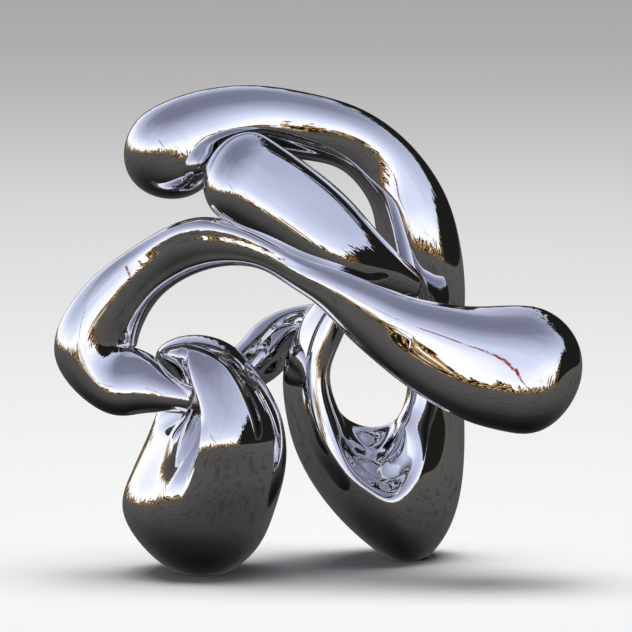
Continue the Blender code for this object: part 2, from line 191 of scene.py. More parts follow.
def smooth_rows(rows, knots, at):
    """Rows read at any distance: a*r0 + b*r1 + ((a^3-a)*bend0 + (b^3-b)*bend1)*gap^2/6."""
    gap = np.diff(knots)
    count = len(knots)
    system = np.eye(count)
    inner = np.arange(1, count - 1)
    system[inner, inner - 1] = gap[:-1]
    system[inner, inner] = 2 * (gap[:-1] + gap[1:])
    system[inner, inner + 1] = gap[1:]
    slope = np.diff(rows, axis=0) / gap[:, None]
    right = np.zeros((count, rows.shape[1]))
    right[1:-1] = 6 * np.diff(slope, axis=0)
    bend = np.linalg.solve(system, right)
    i = np.clip(np.searchsorted(knots, at) - 1, 0, count - 2)
    a = ((knots[i + 1] - at) / gap[i])[:, None]
    b = 1 - a
    curve = ((a**3 - a) * bend[i] + (b**3 - b) * bend[i + 1]) * (gap[i] ** 2)[:, None] / 6
    return a * rows[i] + b * rows[i + 1] + curve


def directions(path, at):
    """Unit direction along the centre line, from two readings a hundredth apart."""
    rows, knots = path
    step = 0.01
    run = (smooth_rows(rows, knots, at + step) - smooth_rows(rows, knots, at - step))[:, :3]
    return run / np.linalg.norm(run, axis=1, keepdims=True)


def path_of(centres, across, depth):
    """A path is its rows (centre, rib vector, half depth) and the distance of each row."""
    steps = np.linalg.norm(np.diff(centres, axis=0), axis=1)
    return np.column_stack([centres, across, depth]), np.concatenate([[0], np.cumsum(steps)])


def swept_path(stations):
    """Rib = direction x Y axis, scaled to the half width, so each rib is square to the line."""
    rows = np.array(stations, float)
    bare = path_of(rows[:, :3], np.zeros((len(rows), 3)), np.zeros(len(rows)))
    across = np.cross(directions(bare, bare[1]), [0.0, 1.0, 0.0])
    across *= (rows[:, 3] / np.linalg.norm(across, axis=1))[:, None]
    return path_of(rows[:, :3], across, rows[:, 4])


def ribbed_path(ribs):
    """Centre = the middle of each rib, and the rib vector = half of the rib."""
    rows = np.array(ribs, float)
    low_end, high_end = rows[:, (0, 4, 1)], rows[:, (2, 4, 3)]
    return path_of((low_end + high_end) / 2, (high_end - low_end) / 2, rows[:, 5])


def section_frame(path, at):
    """Centre, rib direction, depth direction and the two half sizes at each distance."""
    rows, knots = path
    here = smooth_rows(rows, knots, at)
    wide = np.linalg.norm(here[:, 3:6], axis=1)
    across = here[:, 3:6] / wide[:, None]
    deep = np.cross(across, directions(path, at))
    deep /= np.linalg.norm(deep, axis=1, keepdims=True)
    return here[:, :3], across, deep, wide, here[:, 6]


def end_joint(path, end=0):
    """The point and the inward direction at either end of a limb."""
    at = np.array([path[1][-1] * end])
    return section_frame(path, at)[0][0], directions(path, at)[0] * (1 - 2 * end)


limbs = {
    "long_arm": swept_path(LONG_ARM),
    "crown_arm": swept_path(CROWN_ARM),
    "central_bulb": swept_path(CENTRAL_BULB),
    "rear_strut": swept_path(REAR_STRUT),
    "right_foot": ribbed_path(RIGHT_FOOT),
}
for limb_name, limb_path in limbs.items():
    print(limb_name, "is", round(limb_path[1][-1], 1), "mm long")

# %% [markdown]
# ## Ridges and hollows
# The real limbs aren't plain ovals. A crisp ridge runs along each band and the surface falls
# away from it, sometimes into a hollow, which is what makes a mirror finish flash from sky
# to ground. Each ridge or hollow is a line of rows: how far along the limb, its bearing
# round the section, its height as a share of the section, and its half angle. A bearing of
# -90 degrees is the front.

# %% Relief rows: share of the length, bearing, height, half angle
RIDGES = {
    "crown_arm": [
        (
            (0.00, -85, 0.00, 34), (0.07, -85, 0.02, 34), (0.18, -82, 0.12, 34),
            (0.29, -78, 0.15, 34), (0.38, -62, 0.16, 34), (0.48, -66, 0.16, 34),
            (0.59, -80, 0.15, 34), (0.70, -86, 0.13, 34), (0.79, -90, 0.08, 34),
            (0.87, -92, 0.00, 34), (1.00, -92, 0.00, 34),
        ),
    ],
    "long_arm": [
        (
            (0.00, -80, 0.00, 30), (0.12, -80, 0.00, 30), (0.17, -72, 0.05, 30),
            (0.24, -45, 0.09, 30), (0.30, -30, 0.10, 30), (0.38, -36, 0.12, 30),
            (0.45, -37, 0.14, 30), (0.51, -37, 0.14, 30), (0.56, -15, 0.12, 30),
            (0.62, -5, 0.10, 30), (0.72, 0, 0.05, 30), (0.85, 0, 0.0, 30), (1.0, 0, 0.0, 30),
        ),
        (
            (0.00, -150, 0.00, 16), (0.47, -150, 0.00, 16), (0.53, -148, 0.05, 16),
            (0.60, -146, 0.06, 16), (0.68, -150, 0.03, 16), (0.76, -155, 0.00, 16),
            (1.00, -155, 0.00, 16),
        ),
    ],
    "central_bulb": [],
    "rear_strut": [
        (
            (0.0, -60, 0.0, 30), (0.3, -60, 0.05, 30), (0.6, -70, 0.07, 30),
            (0.85, -70, 0.02, 30), (1.0, -70, 0.0, 30),
        ),
    ],
    "right_foot": [
        (
            (0.00, -90, 0.00, 26), (0.07, -90, 0.00, 26), (0.18, -100, 0.05, 26),
            (0.30, -95, 0.09, 26), (0.42, -95, 0.10, 26), (0.55, -94, 0.10, 26),
            (0.68, -92, 0.05, 26), (0.80, -90, 0.04, 26), (0.92, -88, 0.02, 26),
            (1.00, -88, 0.00, 26),
        ),
    ],
}
HOLLOWS = {
    "crown_arm": [
        (
            (0.0, -35, 0.0, 24), (0.15, -35, 0.05, 24), (0.4, -25, 0.08, 24),
            (0.6, -40, 0.08, 26), (0.72, -50, 0.12, 28), (0.8, -52, 0.10, 26),
            (0.88, -55, 0.0, 26), (1.0, -55, 0.0, 26),
        ),
    ],
    "long_arm": [
        (
            (0.0, -90, 0.0, 34), (0.2, -95, 0.04, 34), (0.32, -85, 0.10, 34),
            (0.44, -90, 0.12, 34), (0.55, -85, 0.08, 34), (0.66, -70, 0.03, 40),
            (0.8, -75, 0.03, 45), (1.0, -80, 0.0, 45),
        ),
    ],
    "central_bulb": [],
    "rear_strut": [],
    "right_foot": [
        (
            (0.00, -150, 0.00, 34), (0.20, -145, 0.00, 34), (0.28, -142, 0.06, 36),
            (0.36, -140, 0.22, 38), (0.44, -140, 0.30, 38), (0.52, -142, 0.26, 36),
            (0.60, -146, 0.08, 32), (0.68, -150, 0.00, 30), (0.85, -150, 0.00, 30),
            (1.00, -150, 0.00, 34),
        ),
    ],
}
# How square and how skewed each section is: share of the length, squareness, skew. A
# squareness of 2 is a plain oval. A skew tilts the front face up or down.
SECTIONS = {
    "crown_arm": (
        (0.0, 2.0, 0.0), (0.12, 2.1, 0.0), (0.3, 2.2, 0.02), (0.5, 2.3, 0.04),
        (0.7, 2.3, 0.04), (0.82, 2.4, 0.02), (0.92, 2.4, 0.03), (1.0, 2.2, 0.02),
    ),
    "long_arm": (
        (0.0, 2.0, 0.0), (0.07, 2.1, -0.14), (0.15, 2.2, -0.23), (0.23, 2.2, -0.16),
        (0.34, 2.2, -0.06), (0.48, 2.1, -0.02), (0.60, 2.3, -0.05), (0.75, 2.7, 0.0),
        (0.9, 2.7, 0.12), (1.0, 2.6, 0.12),
    ),
    "central_bulb": (
        (0.0, 2.0, 0.0), (0.15, 2.0, -0.05), (0.4, 2.3, -0.22), (0.7, 2.5, -0.26),
        (0.9, 2.4, -0.20), (1.0, 2.3, -0.14),
    ),
    "rear_strut": (
        (0.0, 2.0, 0.0), (0.2, 2.0, 0.24), (0.5, 2.1, 0.36), (0.8, 2.0, 0.24), (1.0, 2.0, 0.0),
    ),
    "right_foot": (
        (0.0, 2.0, 0.0), (0.12, 2.1, 0.12), (0.26, 2.2, 0.16), (0.38, 2.1, 0.06),
        (0.50, 2.1, 0.0), (0.60, 2.1, 0.08), (0.72, 2.2, 0.20), (0.88, 2.2, 0.20),
        (1.0, 2.0, 0.05),
    ),
}
CREST_SOFTNESS = 0.05
# A skewed section is drawn in by this share of its skew, to keep its outline in place
SKEW_SHRINK = 0.35
# A tip's half sizes shrink by sqrt(1 - u^power): the higher, the flatter before the round
TIP_DEPTH_POWER = {
    "long_arm": 2.8, "crown_arm": 2.8, "central_bulb": 2.8, "right_foot": 2.4, "rear_strut": 2.4,
}
TIP_WIDTH_POWER = 2.4


def relief(rows, share, turn, crest):
    """Height * shape(off / half angle); a crest is exp(soft - hypot(off, soft)), a hollow a
    flat-bottomed exp(-off^6). Off is the bearing measured from the line, wrapped round."""
    rows = np.array(rows, float)
    line = smooth_rows(rows[:, 1:], rows[:, 0], share)
    off = np.degrees(turn)[None, :] - line[:, :1]
    off = ((off + 180) % 360 - 180) / line[:, 2:3]
    height = np.clip(line[:, 1:2], 0, None)
    if crest:
        return height * np.exp(CREST_SOFTNESS - np.hypot(off, CREST_SOFTNESS))
    return -height * np.exp(-(off**6))


# %% [markdown]
# ## From rings to a mesh
# Every surface is a stack of closed rings, held as one array. Faces are index arithmetic on
# the grid, and each end closes on one point, so the solid is watertight. The signed volume
# tells which way the faces point, and the rings are turned over if they point inwards.

# %% Ring stack to mesh


def signed_volume(points, triangles):
    """Sum of a . (b x c) / 6 over the triangles: positive when they face outwards."""
    a, b, c = (points[triangles[:, i]] for i in range(3))
    return np.einsum("ij,ij->", a, np.cross(b, c)) / 6


def stack_mesh(name, rings):
    """Quads between ring i and i+1, side j and j+1, and a fan of triangles at each end."""
    count, sides, _ = rings.shape
    points = np.concatenate([rings.reshape(-1, 3), [rings[0].mean(0), rings[-1].mean(0)]]) * MM
    ring, side = np.meshgrid(np.arange(count - 1), np.arange(sides), indexing="ij")
    after = (side + 1) % sides
    corners = [ring * sides + side, ring * sides + after]
    corners += [(ring + 1) * sides + after, (ring + 1) * sides + side]
    quads = np.stack(corners, axis=-1).reshape(-1, 4)
    one = np.arange(sides)
    two = (one + 1) % sides
    last = (count - 1) * sides
    start_fan = np.stack([np.full(sides, count * sides), two, one], axis=1)
    end_fan = np.stack([np.full(sides, count * sides + 1), last + one, last + two], axis=1)
    triangles = np.concatenate([quads[:, [0, 1, 2]], quads[:, [0, 2, 3]], start_fan, end_fan])
    if signed_volume(points, triangles) < 0:
        quads, start_fan, end_fan = quads[:, ::-1], start_fan[:, ::-1], end_fan[:, ::-1]
    mesh = bpy.data.meshes.new(name)
    faces = quads.tolist() + start_fan.tolist() + end_fan.tolist()
    mesh.from_pydata(points.tolist(), [], faces)
    return mesh


SHARP_ANGLE = math.radians(35)


def add_piece(name, mesh):
    """Link a mesh as an object at the origin, smooth except over crisp edges."""
    mesh.shade_smooth()
    mesh.set_sharp_from_angle(angle=SHARP_ANGLE)
    piece = bpy.data.objects.new(name, mesh)
    bpy.context.scene.collection.objects.link(piece)
    return piece


# %% [markdown]
# ## Joint pockets
# Pull a limb off and you see how it is held: a round face with a pocket for a ring magnet
# and, below it, the bore of a locating pin. The sizes repeat those of the solids inside.

# %% Joint sizes, in millimetres
FACE_GAP = 0.3
GLUE_GAP = 0.15
PIN_BORE_R = 1.7
PIN_DEPTH = 6.5
MAGNET_THICK = 2.5
WASHER_THICK = 0.6
MAGNET_R = {"tongue": 4.0, "crown": 8.5, "bulb": 5.0, "strut": 5.5}
BORE_BELOW = 2.5
CHAMFER_DEPTH = 0.4
CHAMFER_WIDTH = 0.3
ROUND_DROP = 0.35
ROUND_LENGTH = 0.5
SIDES = 192
TURN = np.linspace(0, 2 * math.pi, SIDES, endpoint=False)


def pocket_depth(washer):
    """Depth of a magnet's pocket: the magnet, its glue, and a washer where one lies on it."""
    return MAGNET_THICK + GLUE_GAP + (WASHER_THICK + GLUE_GAP if washer else 0)


def pocket_rings(path, end, magnet_r, washer):
    """Circles of a stepped blind hole, from the bottom of the bore up to the end face."""
    at = np.array([path[1][-1] * end])
    centre, across, deep, _, _ = section_frame(path, at)
    inward = end_joint(path, end)[1]
    depth = pocket_depth(washer)
    outer = magnet_r + GLUE_GAP
    steps = ((PIN_BORE_R, max(PIN_DEPTH, depth + BORE_BELOW)), (PIN_BORE_R, depth))
    steps += ((outer, depth), (outer, CHAMFER_DEPTH), (outer + CHAMFER_WIDTH, 0.0))
    steps = np.array(steps)[:, :, None, None]
    circle = np.cos(TURN)[:, None] * across + np.sin(TURN)[:, None] * deep
    rings = centre[0] + steps[:, 0] * circle + steps[:, 1] * inward
    return rings if end == 0 else rings[::-1]


def limb_rings(path, name, tip_length, steps=260, tip_steps=56):
    """Point = centre + r*(cos(turn)*half width*across + sin(turn)*half depth*deep), with
    r = (|cos|^p + |sin|^p)^(-1/p) + skew*sin(2 turn) - shrink*|skew| + ridges - hollows, and
    p the squareness. Over the tip, u runs from 0 to 1 and both sizes shrink by
    sqrt(1 - u^power), in the arms with a higher power for the depth, so that the front stays
    flat before it rounds off."""
    body = path[1][-1] - tip_length
    at = np.linspace(0, body, steps)
    edge = np.array([0.1, 0.25, 0.5])
    at = np.concatenate([at[:1], edge, at[1:]])
    if tip_length:
        u = np.sin(np.linspace(0, 0.5 * math.pi, tip_steps + 1))[1:-1]
        at = np.concatenate([at, body + tip_length * u])
    else:
        at = np.concatenate([at[:-1], body - edge[::-1], at[-1:]])
    centre, across, deep, wide, thick = section_frame(path, at)
    u = np.clip((at - body) / tip_length, 0, 1) if tip_length else np.zeros(len(at))
    wide = wide * np.sqrt(1 - u**TIP_WIDTH_POWER)
    thick = thick * np.sqrt(1 - u ** TIP_DEPTH_POWER[name])
    share = at / path[1][-1]
    rows = np.array(SECTIONS[name], float)
    form = smooth_rows(rows[:, 1:], rows[:, 0], share)
    square, skew = form[:, :1], form[:, 1:]
    reach = (np.abs(np.cos(TURN)) ** square + np.abs(np.sin(TURN)) ** square) ** (-1 / square)
    reach += skew * np.sin(2 * TURN) - SKEW_SHRINK * np.abs(skew)
    for rows in RIDGES[name]:
        reach += relief(rows, share, TURN, True)
    for rows in HOLLOWS[name]:
        reach += relief(rows, share, TURN, False)
    # a fine round-over where the side meets the end face
    rim = ROUND_DROP * np.clip(1 - at / ROUND_LENGTH, 0, 1) ** 2
    if not tip_length:
        rim += ROUND_DROP * np.clip(1 - (body - at) / ROUND_LENGTH, 0, 1) ** 2
    wide_reach = reach * wide[:, None] - rim[:, None]
    thick_reach = reach * thick[:, None] - rim[:, None]
    sideways = (np.cos(TURN) * wide_reach)[..., None] * across[:, None]
    return centre[:, None] + sideways + (np.sin(TURN) * thick_reach)[..., None] * deep[:, None]


# %% [markdown]
# ## Turned seats
# A foot or an arm that carries another limb has a shallow turned seat for it, wide enough
# for the limb to swivel in. The seat is a lathe profile, cut out with a Boolean, and the
# result is kept as plain mesh.

# %% Turned cutter and the cut itself
SWIVEL_BOWL = 20.0
FIXED_BOWL = 11.0
SEAT_SIDES = 128


def seat_cutter(path, end, magnet_r, washer):
    """Radius at each height = the limb's widest reach from its joint axis there, plus a gap,
    then the magnet's pocket and the pin's bore below the face."""
    at = np.linspace(0, SWIVEL_BOWL if washer else FIXED_BOWL, 24)
    point, axis = end_joint(path, end)
    centre, _, _, wide, thick = section_frame(path, at if end == 0 else path[1][-1] - at)
    height = (centre - point) @ axis
    stray = np.linalg.norm(centre - point - height[:, None] * axis, axis=1)
    radius = np.maximum.accumulate(stray + np.maximum(wide, thick) + FACE_GAP)
    depth = pocket_depth(washer)
    outer = magnet_r + GLUE_GAP
    bowl = np.column_stack([radius, height])[::-1]
    hole = [(radius[0], 0), (outer, 0), (outer, depth), (PIN_BORE_R, depth)]
    hole.append((PIN_BORE_R, max(PIN_DEPTH, depth + BORE_BELOW)))
    hole = np.array(hole) * (1, -1) - (0, FACE_GAP)
    profile = np.concatenate([bowl, hole])
    deep = np.array([0.0, 1.0, 0.0]) - axis * axis[1]
    deep /= np.linalg.norm(deep)
    turn = np.linspace(0, 2 * math.pi, SEAT_SIDES, endpoint=False)[:, None]
    spoke = np.cos(turn) * np.cross(axis, deep) + np.sin(turn) * deep
    return point + profile[:, 1, None, None] * axis + profile[:, 0, None, None] * spoke


def cut_out(piece, rings):
    """Subtract a ring stack from a piece and keep the result as its mesh."""
    cutter = bpy.data.objects.new("cutter", stack_mesh("cutter", rings))
    bpy.context.scene.collection.objects.link(cutter)
    boolean = piece.modifiers.new("cut", "BOOLEAN")
    boolean.operation = "DIFFERENCE"
    boolean.solver = "EXACT"
    boolean.object = cutter
    evaluated = piece.evaluated_get(bpy.context.evaluated_depsgraph_get())
    mesh = bpy.data.meshes.new_from_object(evaluated)
    piece.modifiers.clear()
    old = piece.data
    piece.data = mesh
    mesh.name = piece.name
    bpy.data.meshes.remove(old)
    bpy.data.objects.remove(cutter)
    mesh.shade_smooth()
    mesh.set_sharp_from_angle(angle=SHARP_ANGLE)
    return len(mesh.polygons)


# %% [markdown]
# ## The four arms
# The long arm loops at the left and ends in a heavy lobe at the right. The crown arm
# arches over the top, the central bulb leans against it, and the rear strut ties the two
# feet together behind. Each keeps its pocket where it meets its neighbour.

# %% Build the arms
TIP_LENGTH = {"long_arm": 26.0, "crown_arm": 23.0, "central_bulb": 17.0, "rear_strut": 0.0}
OWN_JOINT = {
    "long_arm": "tongue", "crown_arm": "crown", "central_bulb": "bulb", "rear_strut": "strut",
}
BODY = {
    "long_arm": "long_arm_body", "crown_arm": "crown_body",
    "central_bulb": "bulb_body", "rear_strut": "base",
}
pieces = {}
for limb_name, joint_name in OWN_JOINT.items():
    limb_path = limbs[limb_name]
    magnet = MAGNET_R[joint_name]
    stack = [pocket_rings(limb_path, 0, magnet, False)]
    stack.append(limb_rings(limb_path, limb_name, TIP_LENGTH[limb_name]))
    if not TIP_LENGTH[limb_name]:
        stack.append(pocket_rings(limb_path, 1, magnet, False))
    limb_mesh = stack_mesh(limb_name + "_surface", np.concatenate(stack))
    pieces[limb_name] = add_piece(limb_name + "_surface", limb_mesh)
    print(limb_name, "has", len(limb_mesh.polygons), "faces")
cut_out(pieces["crown_arm"], seat_cutter(limbs["central_bulb"], 0, MAGNET_R["bulb"], True))

# %% [markdown]
# ## The right foot
# A teardrop ring that stands on its lower end. Its front is dished between a bright rim and
# the open hole. It carries the crown arm on its top face and the strut behind.

# %% Build the right foot
PAD_PROUD = 0.4
PAD_THICK = 1.2
FOOT_TIP_LENGTH = 9.0
foot_path = limbs["right_foot"]
foot_rings = limb_rings(foot_path, "right_foot", FOOT_TIP_LENGTH)
hole_rings = pocket_rings(foot_path, 0, MAGNET_R["crown"], True)
face_rings = foot_rings[:4]
face_rings[..., 2] -= FACE_GAP * np.array([1, 0.7, 0.4, 0.1])[:, None]
hole_rings[..., 2] -= FACE_GAP
right_mesh = stack_mesh("right_foot_surface", np.concatenate([hole_rings, foot_rings]))
pieces["right_foot"] = add_piece("right_foot_surface", right_mesh)
cut_out(pieces["right_foot"], seat_cutter(limbs["rear_strut"], 0, MAGNET_R["strut"], False))
print("right foot:", len(pieces["right_foot"].data.polygons), "faces")

# %% [markdown]
# ## The left foot
# An upright egg with a deep scoop where the long arm's tongue goes in, and a slot that runs
# down from it. It is a stack of level rings. A hollow lowers the radius over a range of
# bearing and height, and falls off steeply on its right, which leaves the crisp edge of the
# strap that crosses the front.

# %% Left foot rows: z, centre x, half width, half depth, swell of the front
LEFT_FOOT_TOP = 95.5
LEFT_FOOT_BOTTOM = -2.0
LEFT_FOOT_Y = -10.0
LEFT_FOOT = (
    (-2, -46.5, 34, 37, 0), (10, -47, 34.4, 35, 0), (25, -47.8, 33.9, 32, 0),
    (38, -45.2, 31.9, 29.5, 1.5), (48, -42.8, 30.1, 27, 4), (57, -41.2, 28.4, 26, 5.5),
    (64, -41.2, 27.8, 25.5, 5), (75, -44.2, 29.0, 26, 3), (84, -47.2, 31.8, 28, 1),
    (95, -49, 36, 30, 0),
)
# bearing, z, half angle to the left, half angle to the right, half height, share, end power
EGG_HOLLOWS = (
    (-146, 75, 44, 38, 12, 0.46, 4),
    (-113, 64, 9, 8, 16, 0.46, 2),
    (-126, 62, 8, 6, 17, -0.10, 4),
    (-160, 60, 36, 36, 24, 0.08, 4),
)
LEVELS = 250
EGG_SIDES = 256


def egg_rings():
    """Reach = 1/hypot(cos/half width, sin/half depth) * product(1 - share * dent), where a
    dent is exp(-(bearing off)^p - (height off)^power), steeper to its right."""
    rows = np.array(LEFT_FOOT, float)
    half = (LEFT_FOOT_TOP - LEFT_FOOT_BOTTOM) / 2
    t = np.linspace(0, math.pi, LEVELS + 1)[1:-1]
    z = LEFT_FOOT_BOTTOM + half - half * np.cos(t)
    level = smooth_rows(rows[:, 1:], rows[:, 0], z)
    turn = np.linspace(0, 2 * math.pi, EGG_SIDES, endpoint=False)
    wide = (level[:, 1] * np.sin(t))[:, None]
    thick = (level[:, 2] * np.sin(t))[:, None]
    reach = 1 / np.hypot(np.cos(turn) / wide, np.sin(turn) / thick)
    for bearing, height, left, right, half_height, share, power in EGG_HOLLOWS:
        off = (np.degrees(turn) - bearing + 180) % 360 - 180
        off = np.where(off > 0, (off / right) ** 6, (off / left) ** 4)
        fall = np.abs((z[:, None] - height) / half_height) ** power
        reach *= 1 - share * np.exp(-off - fall)
    x = level[:, :1] + reach * np.cos(turn)
    swell = level[:, 3:4] * np.clip(-np.sin(turn), 0, None) ** 2
    y = LEFT_FOOT_Y + reach * np.sin(turn) - swell
    return np.stack([x, y, np.broadcast_to(z[:, None], x.shape)], axis=-1)


left_mesh = stack_mesh("left_foot_surface", egg_rings())
pieces["left_foot"] = add_piece("left_foot_surface", left_mesh)
cut_out(pieces["left_foot"], seat_cutter(limbs["long_arm"], 0, MAGNET_R["tongue"], True))
cut_out(pieces["left_foot"], seat_cutter(limbs["rear_strut"], 1, MAGNET_R["strut"], False))
print("left foot:", len(pieces["left_foot"].data.polygons), "faces")

# %% [markdown]
# ## The ground flats
# Each foot is levelled underneath, with a pocket for the thin pad that it stands on. The
# cutter is a square block with the pad's oval on top, so one cut makes both.

# %% Level the feet
PAD_CLEARANCE = 0.3
BLOCK_HALF = 40.0
BLOCK_DEPTH = 10.0


def ground_rings(pad):
    """A square ring below and at the flat, then an oval ring up into the pad's pocket."""
    corner_low, corner_high = (np.array(corner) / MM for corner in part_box(pad))
    centre = (corner_low + corner_high)[:2] / 2
    oval = (corner_high - corner_low)[:2] / 2 + PAD_CLEARANCE
    turn = np.linspace(0, 2 * math.pi, 96, endpoint=False)
    spoke = np.stack([np.cos(turn), np.sin(turn)], axis=1)
    square = spoke / np.abs(spoke).max(axis=1, keepdims=True) * BLOCK_HALF
    levels = ((square, -BLOCK_DEPTH), (square, PAD_PROUD), (spoke * oval, PAD_PROUD))
    levels += ((spoke * oval, PAD_THICK + GLUE_GAP),)
    return np.stack([np.column_stack([ring + centre, np.full(96, z)]) for ring, z in levels])


for foot, pad in (("left_foot", "left_pad"), ("right_foot", "right_pad")):
    left = cut_out(pieces[foot], ground_rings(pad))
    print(foot, "after levelling:", left, "faces")

# %% [markdown]
# ## Marks of use
# Three small effects are shared by the finishes: soft smudges from handling, hairline
# polishing scratches, and a slight unevenness of a hand-polished casting. Each is a node
# group with named inputs, so every finish can use it at its own strength.

# %% Node groups


def new_group(name, inputs, outputs):
    """A shader node group with float inputs (name, default) and float outputs (name)."""
    group = bpy.data.node_groups.new(name, "ShaderNodeTree")
    for label, default in inputs:
        socket = group.interface.new_socket(label, in_out="INPUT", socket_type="NodeSocketFloat")
        socket.default_value = default
    for label in outputs:
        group.interface.new_socket(label, in_out="OUTPUT", socket_type="NodeSocketFloat")
    return group, group.nodes.new("NodeGroupInput"), group.nodes.new("NodeGroupOutput")


def math_node(tree, operation, first, second=None, third=None):
    """A Math node whose inputs are sockets or plain numbers."""
    node = tree.nodes.new("ShaderNodeMath")
    node.operation = operation
    for index, value in enumerate((first, second, third)):
        if isinstance(value, (int, float)):
            node.inputs[index].default_value = value
        elif value is not None:
            tree.links.new(value, node.inputs[index])
    return node.outputs[0]


def noise_node(tree, scale, detail, roughness, stretch=None):
    """Noise on Object coordinates, stretched along an axis where asked."""
    place = tree.nodes.new("ShaderNodeTexCoord").outputs["Object"]
    if stretch:
        mapping = tree.nodes.new("ShaderNodeMapping")
        mapping.inputs["Scale"].default_value = stretch
        tree.links.new(place, mapping.inputs["Vector"])
        place = mapping.outputs["Vector"]
    noise = tree.nodes.new("ShaderNodeTexNoise")
    noise.inputs["Detail"].default_value = detail
    noise.inputs["Roughness"].default_value = roughness
    tree.links.new(place, noise.inputs["Vector"])
    if isinstance(scale, (int, float)):
        noise.inputs["Scale"].default_value = scale
    else:
        tree.links.new(scale, noise.inputs["Scale"])
    return noise.outputs["Fac"]


smudges, inside, outside = new_group("handling_smudges", [("Scale", 40), ("Cover", 0.5)], ["Mask"])
cloud = noise_node(smudges, inside.outputs["Scale"], 4, 0.6)
cover = math_node(smudges, "SUBTRACT", 1.0, inside.outputs["Cover"])
mask = math_node(smudges, "MULTIPLY", math_node(smudges, "SUBTRACT", cloud, cover), 4.0)
smudges.links.new(math_node(smudges, "MINIMUM", math_node(smudges, "MAXIMUM", mask, 0.0), 1.0),
                  outside.inputs["Mask"])

scratches, inside, outside = new_group("hairline_scratches", [("Scale", 900)], ["Mask"])
streak_x = noise_node(scratches, inside.outputs["Scale"], 2, 0.5, (0.06, 1, 1))
streak_z = noise_node(scratches, inside.outputs["Scale"], 2, 0.5, (1, 1, 0.08))
thin = math_node(scratches, "MAXIMUM", streak_x, streak_z)
thin = math_node(scratches, "MULTIPLY", math_node(scratches, "SUBTRACT", thin, 0.66), 8.0)
scratches.links.new(math_node(scratches, "MAXIMUM", thin, 0.0), outside.inputs["Mask"])

waviness, inside, outside = new_group("casting_waviness", [("Scale", 30)], ["Height"])
waviness.links.new(noise_node(waviness, inside.outputs["Scale"], 2, 0.4), outside.inputs["Height"])
print("groups:", sorted(group.name for group in bpy.data.node_groups))

# %% [markdown]
# ## The finishes
# The feet are bright chrome over steel, and the arms are polished aluminium that is a touch
# cooler and softer. Inside the joints are nickel-plated magnets with faint turning marks,
# satin steel pins, cream nylon washers and black rubber pads.

# %% Finish builder


def group_node(tree, group, **values):
    """Place a group in a material and set its inputs."""
    node = tree.nodes.new("ShaderNodeGroup")
    node.node_tree = group
    for label, value in values.items():
        node.inputs[label].default_value = value
    return node


def ramp(tree, factor, stops):
    """A colour ramp through (position, colour) stops."""
    node = tree.nodes.new("ShaderNodeValToRGB")
    elements = node.color_ramp.elements
    while len(elements) < len(stops):
        elements.new(0.5)
    for element, (position, colour) in zip(elements, stops):
        element.position = position
        element.color = (*colour, 1)
    tree.links.new(factor, node.inputs["Fac"])
    return node.outputs["Color"]


def finish(name, slot, metallic, colours, rough, bump, scales, ior=1.5):
    """Colour runs from clean to smudged, roughness from rough[0] to rough[1] under smudges
    and scratches, and a slight bump from waviness and scratches."""
    material = bpy.data.materials.new(name)
    material.use_nodes = True
    tree = material.node_tree
    shader = tree.nodes["Principled BSDF"]
    shader.inputs["Metallic"].default_value = metallic
    shader.inputs["IOR"].default_value = ior
    marks = group_node(tree, smudges, Scale=scales[0], Cover=scales[1]).outputs["Mask"]
    lines = group_node(tree, scratches, Scale=scales[2]).outputs["Mask"]
    waves = group_node(tree, waviness, Scale=scales[3]).outputs["Height"]
    colour = ramp(tree, marks, [(0, colours[0]), (1, colours[1])])
    tree.links.new(colour, shader.inputs["Base Color"])
    used = math_node(tree, "MULTIPLY_ADD", lines, 0.5, marks)
    rougher = math_node(tree, "MULTIPLY_ADD", used, rough[1] - rough[0], rough[0])
    tree.links.new(rougher, shader.inputs["Roughness"])
    height = math_node(tree, "MULTIPLY_ADD", lines, -scales[4], waves)
    bumped = tree.nodes.new("ShaderNodeBump")
    bumped.inputs["Distance"].default_value = bump
    bumped.inputs["Strength"].default_value = 1.0
    tree.links.new(height, bumped.inputs["Height"])
    tree.links.new(bumped.outputs["Normal"], shader.inputs["Normal"])
    finishes[slot] = material


finishes = {}
finish(
    "bright_chrome", "mirror_chrome", 1.0, ((0.83, 0.83, 0.85), (0.78, 0.78, 0.81)),
    (0.015, 0.05), 0.00004, (55, 0.42, 900, 38, 0.02), 2.5,
)
finish(
    "polished_casting", "polished_aluminium", 1.0, ((0.82, 0.825, 0.85), (0.77, 0.775, 0.80)),
    (0.02, 0.06), 0.00004, (48, 0.45, 800, 34, 0.03), 2.5,
)
finish(
    "nickel_plate", "magnet_nickel", 1.0, ((0.66, 0.63, 0.58), (0.56, 0.53, 0.48)),
    (0.18, 0.34), 0.00003, (300, 0.5, 2400, 900, 0.6), 2.0,
)
finish(
    "satin_steel", "pin_steel", 1.0, ((0.56, 0.56, 0.57), (0.46, 0.46, 0.47)),
    (0.28, 0.45), 0.00003, (400, 0.5, 3000, 1200, 0.6), 2.5,
)
finish(
    "cream_nylon", "washer_nylon", 0.0, ((0.74, 0.70, 0.60), (0.66, 0.61, 0.50)),
    (0.5, 0.62), 0.00003, (350, 0.5, 2500, 1500, 0.3), 1.53,
)
finish(
    "black_rubber", "pad_rubber", 0.0, ((0.022, 0.022, 0.024), (0.05, 0.05, 0.05)),
    (0.72, 0.9), 0.00006, (500, 0.45, 2500, 2200, 0.3), 1.52,
)
print("finishes:", sorted(finishes))

# %% [markdown]
# ## Dress the model
# Every fine surface takes its finish and its body, and stands for the plain solid it
# replaces. The magnets, pins, washers and pads stay as they were packed and only take their
# finish.

